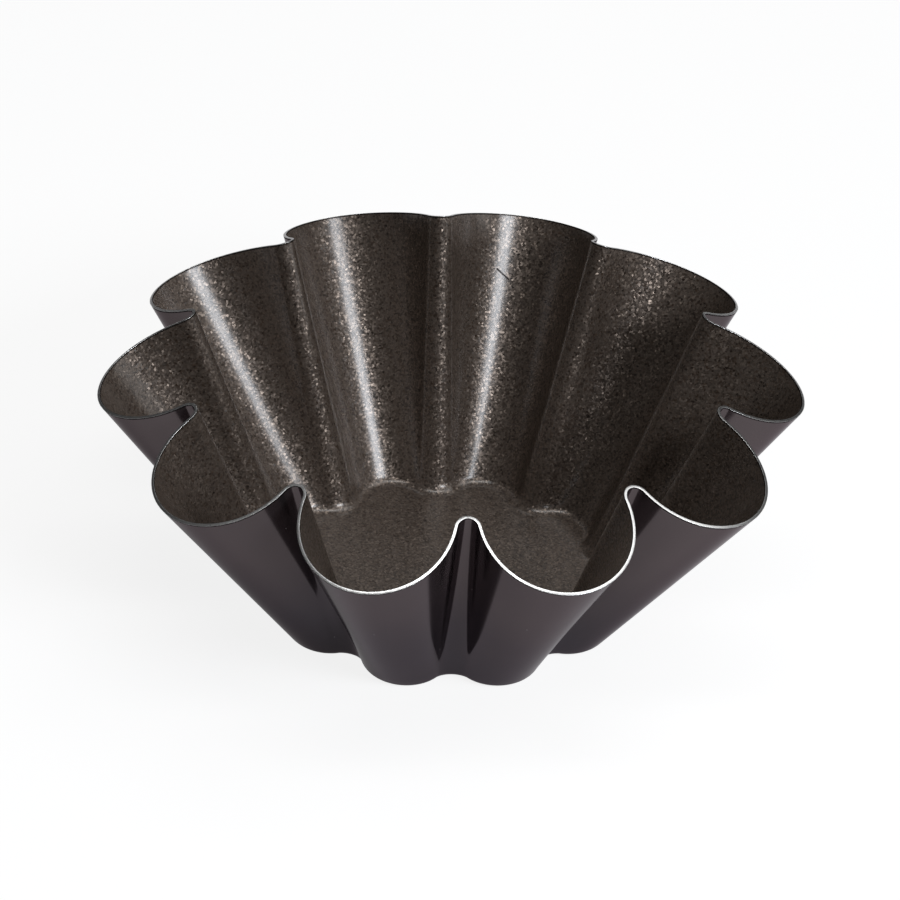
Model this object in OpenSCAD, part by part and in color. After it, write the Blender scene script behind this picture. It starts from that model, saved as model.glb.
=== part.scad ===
// Fluted brioche mould. One steel disc is pressed into flutes and a flat base, then coated
// on both sides and trimmed round the rim, so the bare metal shows only along that edge.
// Millimetres. The axis is Z, the origin is on it at the underside of the base, and a
// flute crown points along X.

/* [Rim] */
// Number of flutes
flutes = 10; // [8:2:12]
// Diameter over the flute crowns
rim_crown_d = 200; // [180:1:220]
// Diameter across the valleys between the flutes
rim_valley_d = 154; // [140:1:166]
// Outside bend radius of a valley
rim_valley_r = 2.9; // [2.4:0.1:6]
// Height of the rim at the flute crowns
crown_h = 65; // [50:1:90]
// How much higher the rim stands in the valleys
valley_rise = 12; // [0:0.5:20]

/* [Base] */
// Diameter over the flute crowns at the corner of wall and base
base_crown_d = 104; // [90:1:120]
// Diameter across the valleys at the corner of wall and base
base_valley_d = 91; // [80:1:94]
// Outside bend radius of a valley at the base
base_valley_r = 6; // [3:0.5:10]
// Outside bend radius between wall and base
base_bend_r = 5; // [2:0.5:8]

/* [Sheet and coats] */
// Thickness of the steel
steel_t = 0.8; // [0.4:0.05:1.2]
// Thickness of the non-stick coat inside
lining_t = 0.04; // [0.02:0.01:0.1]
// Thickness of the lacquer coat outside
lacquer_t = 0.03; // [0.02:0.01:0.1]

/* [Smoothness] */
// Facets on half of a flute crown
crown_steps = 7; // [5:1:9]
// Facets on half of a valley
valley_steps = 3; // [2:1:4]
// Facets down the wall
wall_steps = 2; // [1:1:3]
// Facets round the bend of wall and base
bend_steps = 3; // [2:1:4]

/* [Hidden] */

steel_colour = [0.77, 0.77, 0.76];
lining_colour = [0.17, 0.15, 0.13];
lacquer_colour = [0.28, 0.26, 0.27];

// Half the angle of one flute, from its crown to the bottom of a valley
half_flute = 180 / flutes;
// Depth below the outermost face at which each layer starts and ends
steel_depth = lacquer_t;
lining_depth = steel_depth + steel_t;
inside_depth = lining_depth + lining_t;
// Step in the surface parameters used to take a tangent
tangent_step = 0.001;

// Places along half a flute: 0 at the crown, 1 where the crown arc passes into the valley
// arc, 2 at the bottom of the valley. Negative places lie on the other side of the crown.
side_places = concat(
    [for (i = [0 : crown_steps - 1]) i / crown_steps],
    [for (i = [0 : valley_steps - 1]) 1 + i / valley_steps],
    [2]);
side_count = len(side_places) - 1;
flute_places = concat(
    [for (i = [side_count : -1 : 1]) -side_places[i]],
    [for (i = [0 : side_count - 1]) side_places[i]]);

// Places down the section: 0 at the rim, 1 at the top of the bend, 2 where the base is flat
levels = concat(
    [for (i = [0 : wall_steps - 1]) i / wall_steps],
    [for (i = [0 : bend_steps]) 1 + i / bend_steps]);

columns = flutes * len(flute_places);
rows = len(levels);

function unit(v) = v / norm(v);

// Radius of the crown arc that is tangent to the valley arcs on both its sides
function crown_arc_r(crown_r, valley_r, bend_r) =
    let (reach = valley_r + bend_r)
    (crown_r ^ 2 + reach ^ 2 - 2 * crown_r * reach * cos(half_flute) - bend_r ^ 2)
        / (2 * (crown_r - reach * cos(half_flute) + bend_r));

// Outline of the flute round the X axis, at one place: [point, inward normal]
function outline(crown_r, valley_r, bend_r, place) =
    let (arc_r = crown_arc_r(crown_r, valley_r, bend_r),
         arc_x = crown_r - arc_r,
         valley_x = (valley_r + bend_r) * cos(half_flute),
         valley_y = (valley_r + bend_r) * sin(half_flute),
         side = place < 0 ? -1 : 1,
         along = abs(place),
         turn = atan2(valley_y, valley_x - arc_x),
         crown_a = along * turn,
         valley_a = turn + 180 + (along - 1) * (half_flute - turn))
    along <= 1
        ? [[arc_x + arc_r * cos(crown_a), side * arc_r * sin(crown_a), 0],
           [-cos(crown_a), -side * sin(crown_a), 0]]
        : [[valley_x + bend_r * cos(valley_a), side * (valley_y + bend_r * sin(valley_a)), 0],
           [cos(valley_a), side * sin(valley_a), 0]];

// The rim climbs in step with how far it is drawn in from the crown
function rim_point(place) =
    let (p = outline(rim_crown_d / 2, rim_valley_d / 2, rim_valley_r, place)[0],
         drawn_in = (rim_crown_d / 2 - norm(p)) / ((rim_crown_d - rim_valley_d) / 2))
    p + [0, 0, crown_h + valley_rise * drawn_in];

// Outermost face: a straight line from the rim down to the bend, then an arc to the base
function outer_point(place, level) =
    let (base = outline(base_crown_d / 2, base_valley_d / 2, base_valley_r, place),
         corner = base[0],
         inward = base[1],
         wall = rim_point(place) - corner,
         up = unit(wall),
         half_angle = acos(up * inward) / 2,
         reach = base_bend_r / tan(half_angle),
         centre = corner + unit(up + inward) * base_bend_r / sin(half_angle),
         swing = (90 - half_angle) * (2 * level - 3))
    level <= 1
        ? corner + up * (reach + (norm(wall) - reach) * (1 - level))
        : centre + base_bend_r
            * (unit(inward - up) * sin(swing) - unit(up + inward) * cos(swing));

// Unit normal of the outermost face, pointing into the mould
function into_mould(place, level) =
    unit(cross(
        outer_point(place + tangent_step, level) - outer_point(place - tangent_step, level),
        outer_point(place, level + tangent_step) - outer_point(place, level - tangent_step)));

function turned(p, angle) =
    [p.x * cos(angle) - p.y * sin(angle), p.x * sin(angle) + p.y * cos(angle), p.z];

outer_flute = [for (level = levels) [for (place = flute_places) outer_point(place, level)]];
normal_flute = [for (level = levels) [for (place = flute_places) into_mould(place, level)]];

// Points of the face at one depth, from one row down, and last the middle of the base
function skin(depth, top_row, has_base) = concat(
    [for (row = [top_row : rows - 1])
        for (flute = [0 : flutes - 1])
            for (i = [0 : len(flute_places) - 1])
                turned(outer_flute[row][i] + depth * normal_flute[row][i],
                    2 * half_flute * flute)],
    has_base ? [[0, 0, depth]] : []);

function at(row, column) = row * columns + column % columns;

// Faces of one skin, seen from outside the mould: row by row, then round the middle of the base
function skin_faces(row_count, has_base) = concat(
    [for (row = [0 : 1 : row_count - 2])
        for (c = [0 : columns - 1])
            for (half = [0 : 1])
                half == 0
                    ? [at(row, c), at(row, c + 1), at(row + 1, c + 1)]
                    : [at(row, c), at(row + 1, c + 1), at(row + 1, c)]],
    [for (c = [0 : columns - 1])
        if (has_base) [at(row_count - 1, c), at(row_count - 1, c + 1), row_count * columns]]);

// Faces of the cut edge along one row, between the outer skin and the inner one
function edge_faces(row, skin_points) = [for (c = [0 : columns - 1])
    for (half = [0 : 1])
        half == 0
            ? [at(row, c), skin_points + at(row, c), skin_points + at(row, c + 1)]
            : [at(row, c), skin_points + at(row, c + 1), at(row, c + 1)]];

function turned_over(faces) = [for (f = faces) [f[2], f[1], f[0]]];

// The layer between two depths, from one row down. Without the base it ends in a second edge.
module layer(from_depth, to_depth, top_row = 0, has_base = true) {
    row_count = rows - top_row;
    skin_points = row_count * columns + (has_base ? 1 : 0);
    outer_faces = skin_faces(row_count, has_base);
    inner_faces = [for (f = turned_over(outer_faces)) [for (point = f) point + skin_points]];
    top_edge = edge_faces(0, skin_points);
    bottom_edge = has_base ? [] : turned_over(edge_faces(row_count - 1, skin_points));
    polyhedron(
        points = concat(
            skin(from_depth, top_row, has_base),
            skin(to_depth, top_row, has_base)),
        faces = concat(outer_faces, inner_faces, top_edge, bottom_edge));
}

// Pressed sheet, bare along the trimmed rim
module steel_shell() {
    color(steel_colour) layer(steel_depth, lining_depth);
}

// Non-stick coat over the whole inside
module nonstick_lining() {
    color(lining_colour) layer(lining_depth, inside_depth);
}

// Lacquer coat over the outside of the wall and round the bend
module wall_lacquer() {
    color(lacquer_colour) layer(0, steel_depth, has_base = false);
}

// The same coat under the flat of the base, which the mould stands on
module base_lacquer() {
    color(lacquer_colour) layer(0, steel_depth, top_row = rows - 1);
}

steel_shell();
nonstick_lining();
wall_lacquer();
base_lacquer();
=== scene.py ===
import math

import bpy
import numpy as np
from mathutils import Matrix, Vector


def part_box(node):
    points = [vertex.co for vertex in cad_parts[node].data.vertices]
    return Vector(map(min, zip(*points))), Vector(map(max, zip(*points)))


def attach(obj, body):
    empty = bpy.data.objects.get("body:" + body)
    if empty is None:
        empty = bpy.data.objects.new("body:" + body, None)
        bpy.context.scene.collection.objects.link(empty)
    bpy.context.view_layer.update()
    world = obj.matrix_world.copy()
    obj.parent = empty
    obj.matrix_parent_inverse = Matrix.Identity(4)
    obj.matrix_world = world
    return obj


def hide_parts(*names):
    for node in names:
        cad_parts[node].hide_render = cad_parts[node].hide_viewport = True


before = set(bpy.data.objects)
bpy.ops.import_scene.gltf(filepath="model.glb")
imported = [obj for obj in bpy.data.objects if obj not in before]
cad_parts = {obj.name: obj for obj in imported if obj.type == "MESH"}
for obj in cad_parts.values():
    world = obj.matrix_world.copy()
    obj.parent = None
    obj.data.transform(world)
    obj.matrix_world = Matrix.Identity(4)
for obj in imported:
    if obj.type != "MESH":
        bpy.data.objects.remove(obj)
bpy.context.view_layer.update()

mm = 0.001
white = (1.0, 1.0, 1.0)
print("frame loaded:", ", ".join(sorted(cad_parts)))

# the pressed form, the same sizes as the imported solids
facetRoom = 0.04 * mm  # keeps the finer arcs within the facets
form = dict(
    flutes=10,
    rimCrown=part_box("wall_lacquer")[1].x - facetRoom,
    rimValley=77.0 * mm,
    rimValleyBend=2.9 * mm,
    crownHeight=65.0 * mm,
    valleyRise=12.0 * mm,
    baseCrown=52.0 * mm,
    baseValley=45.5 * mm,
    baseValleyBend=6.0 * mm,
    baseBend=5.0 * mm,
)
layers = dict(lacquer=0.03 * mm, steel=0.8 * mm, lining=0.04 * mm)
mesh = dict(
    crownSteps=22,
    valleySteps=9,
    wallSteps=22,
    bendSteps=10,
    baseSteps=4,
    rimRows=(8, 3, 1),  # close rows under the rim, in roundings of its edge
    creaseAngle=50,
)
halfFlute = math.pi / form["flutes"]


def unit(v):
    return v / np.linalg.norm(v, axis=-1, keepdims=True)


# Plan outline of one flute: a crown arc tangent to a valley arc on each side.
# place 0 is the crown, 1 where the arcs meet, 2 the bottom of the valley.
# crown arc radius = (c^2 + s^2 - 2 c s cos a - b^2) / (2 (c - s cos a + b)), s = v + b
def flutePlan(crown, valley, bend, place):
    reach = valley + bend
    arc = (crown**2 + reach**2 - 2 * crown * reach * math.cos(halfFlute) - bend**2) / (
        2 * (crown - reach * math.cos(halfFlute) + bend))
    middle = crown - arc
    bendX, bendY = reach * math.cos(halfFlute), reach * math.sin(halfFlute)
    side = np.where(place < 0, -1.0, 1.0)
    along = np.abs(place)
    turn = math.atan2(bendY, bendX - middle)
    crownAngle = along * turn
    valleyAngle = turn + math.pi + (along - 1) * (halfFlute - turn)
    onCrown = along <= 1
    x = np.where(onCrown, middle + arc * np.cos(crownAngle), bendX + bend * np.cos(valleyAngle))
    y = np.where(onCrown, arc * np.sin(crownAngle), bendY + bend * np.sin(valleyAngle))
    inX = np.where(onCrown, -np.cos(crownAngle), np.cos(valleyAngle))
    inY = np.where(onCrown, -np.sin(crownAngle), np.sin(valleyAngle))
    flat = np.zeros_like(x)
    return np.stack([x, side * y, flat], -1), np.stack([inX, side * inY, flat], -1)


# Outermost face: level 0..1 is the straight line from rim to bend, 1..2 the bend's arc,
# 2..3 the flat base drawn in to the axis. The rim climbs in step with how far it is drawn in.
def outerFace(place, level):
    corner, inward = flutePlan(form["baseCrown"], form["baseValley"], form["baseValleyBend"], place)
    rim, _ = flutePlan(form["rimCrown"], form["rimValley"], form["rimValleyBend"], place)
    radius = np.hypot(rim[..., 0], rim[..., 1])
    drawnIn = (form["rimCrown"] - radius) / (form["rimCrown"] - form["rimValley"])
    rim[..., 2] = form["crownHeight"] + form["valleyRise"] * drawnIn
    wall = rim - corner
    length = np.linalg.norm(wall, axis=-1, keepdims=True)
    up = wall / length
    halfAngle = np.arccos((up * inward).sum(-1, keepdims=True)) / 2
    bend = form["baseBend"]
    reach = bend / np.tan(halfAngle)
    centre = corner + unit(up + inward) * bend / np.sin(halfAngle)
    at = level[..., None]
    swing = (math.pi / 2 - halfAngle) * (2 * at - 3)
    onWall = corner + up * (reach + (length - reach) * (1 - at))
    onBend = centre + bend * (
        unit(inward - up) * np.sin(swing) - unit(up + inward) * np.cos(swing))
    onBase = (corner + inward * reach) * (3 - at)
    return np.where(at <= 1, onWall, np.where(at <= 2, onBend, onBase))


# Inward unit normal by the cross product of two short chords; straight up on the base
def inwardNormal(place, level, step=1e-3):
    across = outerFace(place + step, level) - outerFace(place - step, level)
    down = outerFace(place, level) - outerFace(place, level - step)
    normal = unit(np.cross(across, down))
    return np.where((level >= 2)[..., None], np.array([0.0, 0.0, 1.0]), normal)


# Straight length of the wall down a flute crown
def wallLength():
    crown = np.zeros(2)
    rim, bendTop = outerFace(crown, np.array([0.0, 1.0]))
    return float(np.linalg.norm(rim - bendTop))


# A closed skin: the path of (level, depth) pairs is carried round every place of every flute,
# up the outside and down the inside. Its two ends lie on the axis and become one point each.
# Each point keeps how far down the wall it lies, for the band of each coat along the rim.
def sweptSkin(name, path):
    side = np.concatenate([
        np.linspace(0, 1, mesh["crownSteps"], endpoint=False),
        np.linspace(1, 2, mesh["valleySteps"] + 1)])
    places = np.concatenate([-side[:0:-1], side[:-1]])
    level, depth = np.array(path).T
    grid = np.meshgrid(places, level)
    face = outerFace(*grid) + inwardNormal(*grid) * depth[:, None, None]
    turns = []
    for flute in range(form["flutes"]):
        angle = 2 * halfFlute * flute
        c, s = math.cos(angle), math.sin(angle)
        turns.append(face @ np.array([[c, s, 0], [-s, c, 0], [0, 0, 1]]))
    rings = np.concatenate(turns, 1)[1:-1]
    rows, columns = rings.shape[:2]
    below = np.minimum(level, 1.0) * wallLength()
    poles = np.array([[0, 0, depth[0]], [0, 0, depth[-1]]])
    points = np.concatenate([rings.reshape(-1, 3), poles])
    row, column = np.meshgrid(np.arange(rows - 1) * columns, np.arange(columns), indexing="ij")
    after = (column + 1) % columns
    quads = np.stack([row + column, row + after, row + columns + after, row + columns + column], -1)
    ring = np.arange(columns)
    following = (ring + 1) % columns
    last = (rows - 1) * columns
    under = np.stack([np.full(columns, rows * columns), following, ring], -1)
    inside = np.stack([np.full(columns, rows * columns + 1), last + ring, last + following], -1)
    data = bpy.data.meshes.new(name)
    faces = quads.reshape(-1, 4).tolist() + under.tolist() + inside.tolist()
    data.from_pydata(points.tolist(), [], faces)
    data.polygons.foreach_set("use_smooth", np.ones(len(data.polygons), bool))
    belowRim = data.attributes.new("belowRim", "FLOAT", "POINT")
    belowRim.data.foreach_set("value", [*np.repeat(below[1:-1], columns), below[0], below[-1]])
    data.set_sharp_from_angle(angle=math.radians(mesh["creaseAngle"]))
    piece = bpy.data.objects.new(name, data)
    bpy.context.scene.collection.objects.link(piece)
    return piece


# Levels from the middle of the base up to near the rim, with close rows just below its edge
def levelsUp(top):
    base = np.linspace(3, 2, mesh["baseSteps"], endpoint=False)
    bend = np.linspace(2, 1, mesh["bendSteps"], endpoint=False)
    wall = np.linspace(1, 0, mesh["wallSteps"], endpoint=False)
    return np.concatenate([base, bend, wall, top * np.array(mesh["rimRows"])])


class Signal:  # one output socket; maths on it adds Math nodes
    def __init__(self, look, socket):
        self.look, self.socket = look, socket

    def math(self, operation, *values):
        return self.look.add("ShaderNodeMath", 0, {"operation": operation}, dict(enumerate(values)))

    def __add__(self, other):
        return self.math("ADD", self, other)

    def __mul__(self, other):
        return self.math("MULTIPLY", self, other)

    def __sub__(self, other):
        return self.math("SUBTRACT", self, other)

    def __rsub__(self, other):
        return self.math("SUBTRACT", other, self)

    def fraction(self):
        return self.math("FRACT", self)

    __radd__ = __add__
    __rmul__ = __mul__


class Look:  # the node tree of a material or a world
    def __init__(self, owner):
        self.owner = owner
        owner.use_nodes = True
        self.tree = owner.node_tree
        self.tree.nodes.clear()

    # any node: its type, the output wanted, its settings, then values or links of its sockets
    def add(self, kind, output, settings=None, sockets=None):
        node = self.tree.nodes.new(kind)
        for key, value in (settings or {}).items():
            setattr(node, key, value)
        for key, value in (sockets or {}).items():
            if isinstance(value, Signal):
                self.tree.links.new(value.socket, node.inputs[key])
            elif isinstance(value, tuple) and node.inputs[key].type == "RGBA":
                node.inputs[key].default_value = (*value, 1.0)
            else:
                node.inputs[key].default_value = value
        return Signal(self, node.outputs[output]) if output is not None else node

    def noise(self, where, scale, detail):  # 0.5 on average
        return self.add("ShaderNodeTexNoise", "Fac", None, {
            "Vector": where, "Scale": scale, "Detail": detail})

    def vector(self, operation, *values, output="Vector"):
        sockets = dict(enumerate(values))
        return self.add("ShaderNodeVectorMath", output, {"operation": operation}, sockets)

    def between(self, signal, low, high):  # 0 at low, 1 at high, smooth between
        return self.add("ShaderNodeMapRange", 0, {"interpolation_type": "SMOOTHSTEP"}, {
            "Value": signal, "From Min": low, "From Max": high})

    def blend(self, factor, first, second):  # of two colours
        return self.add("ShaderNodeMix", 2, {"data_type": "RGBA"}, {0: factor, 6: first, 7: second})

    def bump(self, height, distance, **under):  # under may give the Normal that it starts from
        sockets = {"Height": height, "Distance": distance, **under}
        return self.add("ShaderNodeBump", "Normal", None, sockets)

    # the finish, and over it a thin matte band along the cut rim, where the coat ends
    def surface(self, sockets, band=None):
        shader = self.add("ShaderNodeBsdfPrincipled", "BSDF", None, sockets)
        if band:
            below = self.add("ShaderNodeAttribute", "Fac", {"attribute_name": "belowRim"})
            near = self.between(band["width"] - below, 0.0, band["width"] / 2)
            matte = self.add("ShaderNodeBsdfDiffuse", 0, None, {"Color": band["matte"]})
            shader = self.add("ShaderNodeMixShader", 0, None, {
                0: near * band["cover"], 1: shader, 2: matte})
        self.add("ShaderNodeOutputMaterial", None, None, {"Surface": shader})
        return self.owner


# The coat inside: brown-black, full of fine flakes that each lie at their own small tilt. A
# smooth clear top gives the soft middle of each highlight, the flakes its speckled border.
nonstick = dict(
    dark=(0.011, 0.0057, 0.0032),
    light=(0.045, 0.0265, 0.0155),
    flake=(0.225, 0.181, 0.150),
    flakeScale=1850.0,
    flakeShuffle=7.0,  # makes a second random share out of a cell's first one
    flakeMetal=0.9,
    flakeTilt=0.34,
    waveScale=90.0,
    waveDetail=2.0,
    waveDepth=0.05 * mm,
    roughness=0.40,
    roughnessSpread=0.1,
    clearTop=1.0,
    clearSpread=0.3,
    clearRoughness=0.23,
    sheen=(1.0, 0.92, 0.86),
    band=dict(matte=(0.010, 0.008, 0.007), width=0.6 * mm, cover=0.9),
    scratchFrom=(18.02 * mm, 85.64 * mm, 53.27 * mm),
    scratchTo=(21.40 * mm, 84.48 * mm, 50.45 * mm),
    scratchWidth=1.0 * mm,
    scratchRoughness=0.5,
)


# 1 along a straight scratch, fading out over its half width. The nearest place on the scratch
# comes from how far along it a point lies, clamped to its two ends.
def scratchMask(look, where):
    start, half = nonstick["scratchFrom"], nonstick["scratchWidth"] / 2
    along = np.subtract(nonstick["scratchTo"], start)
    fromStart = look.vector("SUBTRACT", where, start)
    share = look.vector("DOT_PRODUCT", fromStart, tuple(along / (along @ along)), output="Value")
    place = look.add("ShaderNodeClamp", 0, None, {0: share})
    nearest = look.vector("MULTIPLY", place, tuple(along))
    return look.between(half - look.vector("DISTANCE", fromStart, nearest, output="Value"), 0.0, half)


def nonstickLook():
    look = Look(bpy.data.materials.new("nonstickCoat"))
    where = look.add("ShaderNodeTexCoord", "Object")
    cell = look.add("ShaderNodeTexVoronoi", "Color", None, {
        "Vector": where, "Scale": nonstick["flakeScale"]})
    chance = look.add("ShaderNodeSeparateColor", 0, None, {0: cell})
    flake = (chance * nonstick["flakeShuffle"]).fraction()
    tilt = nonstick["flakeTilt"]
    lean = look.vector("MULTIPLY_ADD", cell, (tilt,) * 3, (-tilt / 2,) * 3)
    normal = look.add("ShaderNodeNewGeometry", "Normal")
    lie = look.vector("NORMALIZE", look.vector("ADD", normal, lean))
    wave = look.noise(where, nonstick["waveScale"], nonstick["waveDetail"])
    scratch = scratchMask(look, where)
    film = look.blend(chance, nonstick["dark"], nonstick["light"])
    speckled = look.blend(flake, film, nonstick["flake"])
    uneven = (wave - 0.5) * nonstick["roughnessSpread"]
    return look.surface({
        "Base Color": look.blend(scratch, speckled, nonstick["dark"]),
        "Metallic": flake * nonstick["flakeMetal"],
        "Roughness": nonstick["roughness"] + uneven + scratch * nonstick["scratchRoughness"],
        "Coat Weight": (nonstick["clearTop"] + (wave - 0.5) * nonstick["clearSpread"]) * (1 - scratch),
        "Coat Roughness": nonstick["clearRoughness"],
        "Specular Tint": nonstick["sheen"],
        "Normal": look.bump(wave, nonstick["waveDepth"], Normal=lie)},
        nonstick["band"])


# The lacquer outside: lighter brown under the rim, darker aubergine towards the base, with a little
# dust.
# The lighter top and darker base are painted light and shade: the top stands in for the brighter floor
# it reflects, the base for the floor's shade near the mould. Its fine metallic pigment tints the
# reflection, which stays about as strong at every angle.
lacquer = dict(
    # brown, the lighter colour, is painted light towards the rim; aubergine, the darker, is painted
    # shade towards the base
    brown=(0.132, 0.110, 0.112),
    aubergine=(0.084, 0.074, 0.083),
    sheen=(0.60, 0.56, 0.58),
    metal=0.85,
    # where the painted light of the lighter top starts and ends up the wall
    paintedTopLightFrom=0.2,  # as shares of the wall's height
    paintedTopLightTo=0.9,
    dust=(0.42, 0.40, 0.40),
    dustScale=120.0,
    dustSize=0.03,
    dustRoughness=0.5,
    cloudScale=14.0,
    cloudDetail=3.0,
    cloudReach=1.2,
    peelScale=450.0,
    peelDetail=1.0,
    peelDepth=0.004 * mm,
    roughness=0.13,
    roughnessSpread=0.06,
    ior=1.5,
    band=dict(matte=(0.010, 0.008, 0.008), width=0.6 * mm, cover=0.9),
)


def lacquerLook():
    look = Look(bpy.data.materials.new("satinLacquer"))
    where = look.add("ShaderNodeTexCoord", "Object")
    height = look.add("ShaderNodeSeparateXYZ", "Z", None, {0: where})
    cloud = look.noise(where, lacquer["cloudScale"], lacquer["cloudDetail"])
    # painted light and shade by height: lighter towards the rim, darker towards the base; the cloud
    # makes its edge uneven
    share = height * (1 / form["crownHeight"]) + (cloud - 0.5) * lacquer["cloudReach"]
    paintedTopLight = look.between(share, lacquer["paintedTopLightFrom"], lacquer["paintedTopLightTo"])
    film = look.blend(paintedTopLight, lacquer["aubergine"], lacquer["brown"])
    fleck = look.add("ShaderNodeTexVoronoi", "Distance", None, {
        "Vector": where, "Scale": lacquer["dustScale"]})
    dusty = look.between(lacquer["dustSize"] - fleck, 0.0, lacquer["dustSize"] / 2)
    peel = look.noise(where, lacquer["peelScale"], lacquer["peelDetail"])
    uneven = (cloud - 0.5) * lacquer["roughnessSpread"]
    return look.surface({
        "Base Color": look.blend(dusty, film, lacquer["dust"]),
        "Roughness": lacquer["roughness"] + uneven + dusty * lacquer["dustRoughness"],
        "Metallic": lacquer["metal"],
        "IOR": lacquer["ior"],
        "Specular Tint": lacquer["sheen"],
        "Normal": look.bump(peel, lacquer["peelDepth"])},
        lacquer["band"])


# The sheared edge of the sheet: bright steel with a fine burr and a small rounding
edge = dict(
    steel=(0.86, 0.86, 0.85),
    roughness=0.32,
    roughnessSpread=0.2,
    rounding=0.06 * mm,
    roundSteps=4,
    burrScale=1500.0,
    burrDetail=3.0,
    burrDepth=0.03 * mm,
)


def edgeLook():
    look = Look(bpy.data.materials.new("shearedSteel"))
    where = look.add("ShaderNodeTexCoord", "Object")
    burr = look.noise(where, edge["burrScale"], edge["burrDetail"])
    return look.surface({
        "Base Color": edge["steel"],
        "Metallic": 1.0,
        "Roughness": edge["roughness"] + (burr - 0.5) * edge["roughnessSpread"],
        "Normal": look.bump(burr, edge["burrDepth"])})


def dress(piece, slotName, look, *nodes):
    piece.data.materials.append(look)
    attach(piece, "root")
    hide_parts(*nodes)


# The sheet and its two coats share one surface and differ in depth only. The coats stop
# where the rounding of the sheet's edge starts.
def buildMould():
    steelOut = layers["lacquer"]
    steelIn = steelOut + layers["steel"]
    inside = steelIn + layers["lining"]
    top = edge["rounding"] / wallLength()
    up = levelsUp(top)
    angles = np.linspace(0, math.pi / 2, edge["roundSteps"] + 1)[1:]
    roundDepth = steelOut + edge["rounding"] * (1 - np.cos(angles))
    outerRound = np.stack([top * (1 - np.sin(angles)), roundDepth], -1)
    innerRound = outerRound[::-1] * [1, -1] + [0, steelOut + steelIn]

    def upAndDown(outDepth, inDepth, over=()):
        outer = [(level, outDepth) for level in up]
        inner = [(level, inDepth) for level in up[::-1]]
        return outer + list(over) + inner

    sheet = sweptSkin("steelShell", upAndDown(steelOut, steelIn, [*outerRound, *innerRound]))
    dress(sheet, "bare_steel", edgeLook(), "steel_shell")
    outside = sweptSkin("outerLacquer", upAndDown(0.0, steelOut))
    dress(outside, "lacquer_coat", lacquerLook(), "wall_lacquer", "base_lacquer")
    lining = sweptSkin("nonstickLining", upAndDown(steelIn, inside))
    dress(lining, "nonstick_coat", nonstickLook(), "nonstick_lining")
    print("mould built")


# Pale floor and studio. Cameras see them nearly white, and the floor keeps the mould's shadow.
# The floor fades to white further out, and seen from below it isn't there.
stage = dict(
    floorSize=6.0,
    floorDrop=0.02 * mm,  # a hair under the base, so that the two faces don't flicker
    floor=(0.62, 0.60, 0.61),
    floorSeen=(0.25, 0.25, 0.25),  # as the camera sees it, on top of its glow
    floorGlow=0.86,
    fadeFrom=0.5,
    fadeTo=1.4,
    floorGlowInGloss=0.26,
    skyInGloss=0.03,
)


def buildFloor():
    half = stage["floorSize"] / 2
    low = -stage["floorDrop"]
    corners = [(-half, -half, low), (half, -half, low), (half, half, low), (-half, half, low)]
    data = bpy.data.meshes.new("floor")
    data.from_pydata(corners, [], [(0, 1, 2, 3)])
    floor = bpy.data.objects.new("floor", data)
    bpy.context.scene.collection.objects.link(floor)
    look = Look(bpy.data.materials.new("paleFloor"))
    seen = look.add("ShaderNodeLightPath", "Is Camera Ray")
    mirrored = look.add("ShaderNodeLightPath", "Is Glossy Ray")
    lit = look.add("ShaderNodeBsdfDiffuse", 0, None, {
        "Color": look.blend(seen, stage["floor"], stage["floorSeen"])})
    where = look.add("ShaderNodeTexCoord", "Object")
    far = look.between(look.vector("LENGTH", where, output="Value"), stage["fadeFrom"], stage["fadeTo"])
    bright = far * (1 - stage["floorGlow"]) + stage["floorGlow"]
    glow = look.add("ShaderNodeEmission", 0, None, {
        "Strength": seen * bright + mirrored * stage["floorGlowInGloss"]})
    pale = look.add("ShaderNodeAddShader", 0, None, {0: lit, 1: glow})
    below = look.add("ShaderNodeNewGeometry", "Backfacing")
    gone = look.add("ShaderNodeBsdfTransparent", 0)
    look.add("ShaderNodeOutputMaterial", None, None, {
        "Surface": look.add("ShaderNodeMixShader", 0, None, {0: below, 1: pale, 2: gone})})
    data.materials.append(look.owner)
    print("floor laid")


def buildSky():
    world = bpy.data.worlds.new("studio")
    bpy.context.scene.world = world
    look = Look(world)
    seen = look.add("ShaderNodeLightPath", "Is Camera Ray")
    mirrored = look.add("ShaderNodeLightPath", "Is Glossy Ray")
    back = look.add("ShaderNodeBackground", 0, None, {
        "Color": white,
        "Strength": seen + mirrored * stage["skyInGloss"]})
    look.add("ShaderNodeOutputWorld", None, None, {"Surface": back})
    print("sky set")


# A point on a sphere: azimuth is turned from -Y towards +X
def around(azimuth, elevation, distance):
    turn, rise = math.radians(azimuth), math.radians(elevation)
    level = math.cos(rise)
    return distance * np.array([math.sin(turn) * level, -math.cos(turn) * level, math.sin(rise)])


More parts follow.
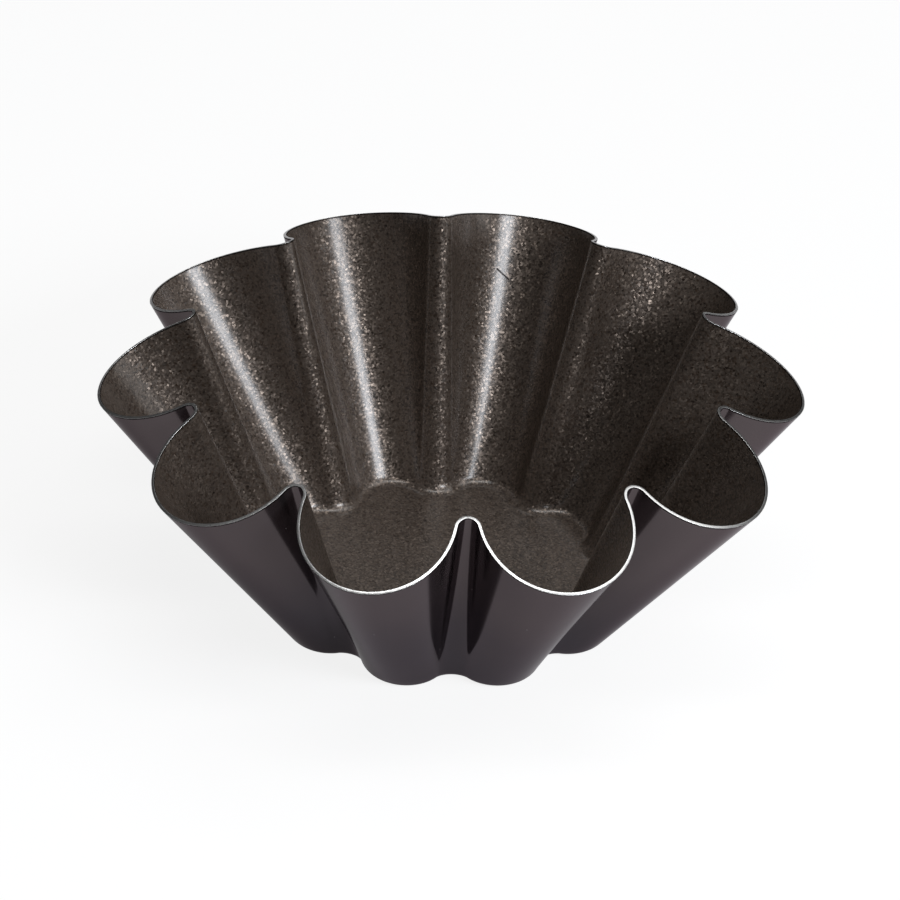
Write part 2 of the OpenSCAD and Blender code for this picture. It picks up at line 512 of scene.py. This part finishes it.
# Softboxes, each with its radiance, all turned to the middle of the mould
lampAim = (0.0, 0.0, 0.04)
lamps = dict(
    key=dict(azimuth=38.0, elevation=34.0, distance=1.3, width=0.48, height=0.32, radiance=15.5,
             colour=(0.96, 1.0, 1.06)),  # a little cooler than the others
    side=dict(azimuth=75.0, elevation=9.0, distance=1.5, width=0.8, height=0.4, radiance=1.2),
    right=dict(azimuth=90.0, elevation=60.0, distance=1.5, width=0.9, height=0.6, radiance=1.7),
    top=dict(azimuth=0.0, elevation=80.0, distance=1.5, width=1.0, height=0.3, radiance=5.0),
    back=dict(azimuth=180.0, elevation=50.0, distance=1.6, width=1.0, height=0.6, radiance=0.8),
)


def buildLamps():
    for name, lamp in lamps.items():
        data = bpy.data.lights.new(name, "AREA")
        data.shape = "RECTANGLE"
        data.size, data.size_y = lamp["width"], lamp["height"]
        data.energy = lamp["radiance"] * math.pi * lamp["width"] * lamp["height"]
        data.color = lamp.get("colour", white)
        softbox = bpy.data.objects.new(name, data)
        bpy.context.scene.collection.objects.link(softbox)
        softbox.location = lampAim + around(lamp["azimuth"], lamp["elevation"], lamp["distance"])
        tip = math.radians(90 - lamp["elevation"])
        softbox.rotation_euler = (tip, 0, math.radians(lamp["azimuth"]))
    print("lamps set")


# The photograph's view: a valley faces the camera, turned a little
view = dict(
    azimuth=-4.32,
    elevation=34.235,
    distance=1.6007,
    roll=-2.727,
    target=(0.0001, 0.0, 0.04674),
    lens=225.51,
    sensor=36.0,
)


def buildCamera():
    data = bpy.data.cameras.new("camera")
    data.sensor_width = view["sensor"]
    data.lens = view["lens"]
    camera = bpy.data.objects.new("camera", data)
    bpy.context.scene.collection.objects.link(camera)
    turn, roll = math.radians(view["azimuth"]), math.radians(view["roll"])
    back = around(view["azimuth"], view["elevation"], 1.0)
    right = np.array([math.cos(turn), math.sin(turn), 0.0])
    top = np.cross(back, right)
    matrix = np.eye(4)
    matrix[:3, 0] = right * math.cos(roll) - top * math.sin(roll)
    matrix[:3, 1] = right * math.sin(roll) + top * math.cos(roll)
    matrix[:3, 2] = back
    matrix[:3, 3] = np.array(view["target"]) + back * view["distance"]
    camera.matrix_world = Matrix(matrix.tolist())
    bpy.context.scene.camera = camera
    print("camera set")


bpy.context.scene.view_settings.view_transform = "Standard"
buildCamera()
buildMould()
buildFloor()
buildSky()
buildLamps()
